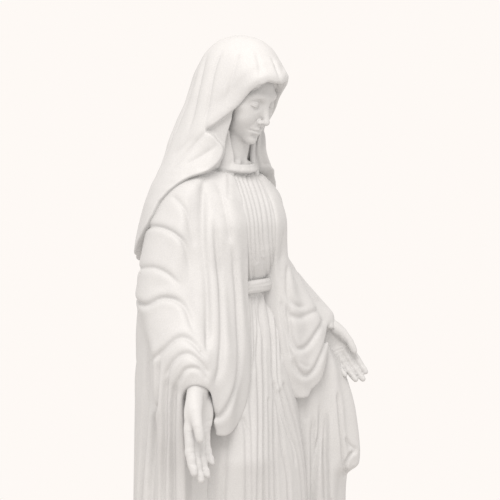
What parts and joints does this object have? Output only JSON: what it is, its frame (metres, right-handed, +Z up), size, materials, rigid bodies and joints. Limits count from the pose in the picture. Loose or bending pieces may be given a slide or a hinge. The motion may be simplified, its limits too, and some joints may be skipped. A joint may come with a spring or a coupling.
{
  "type": "madonna statue",
  "caption": "Standing veiled madonna figure in white marble, arms lowered with open palms, mantle over pleated belted gown, on a low plinth.",
  "frame": {"origin": "centre of the plinth's footprint, on its underside", "axes": "+Z up the figure; the figure faces -Y, and its right hand is on the -X side"},
  "size_m": [0.6195, 0.5, 1.7],
  "materials": {
    "marble": "honed white marble with a soft satin sheen",
    "pin_steel": "satin stainless bar"
  },
  "bodies": {
    "root": {"plinth": "marble", "gown_skirt": "marble", "gown_bodice": "marble", "belt": "marble", "collar": "marble", "head_and_neck": "marble", "veil": "marble", "mantle_back": "marble", "mantle_right": "marble", "mantle_left": "marble", "mantle_left_tail": "marble", "right_hand": "marble", "left_hand": "marble", "right_hand_pin": "pin_steel", "left_hand_pin": "pin_steel", "neck_dowel": "pin_steel", "waist_dowels": "pin_steel", "plinth_dowels": "pin_steel", "mantle_back_pins": "pin_steel", "mantle_right_pins": "pin_steel", "mantle_left_pin": "pin_steel", "tail_pins": "pin_steel", "veil_pins": "pin_steel"}
  },
  "joints": []
}
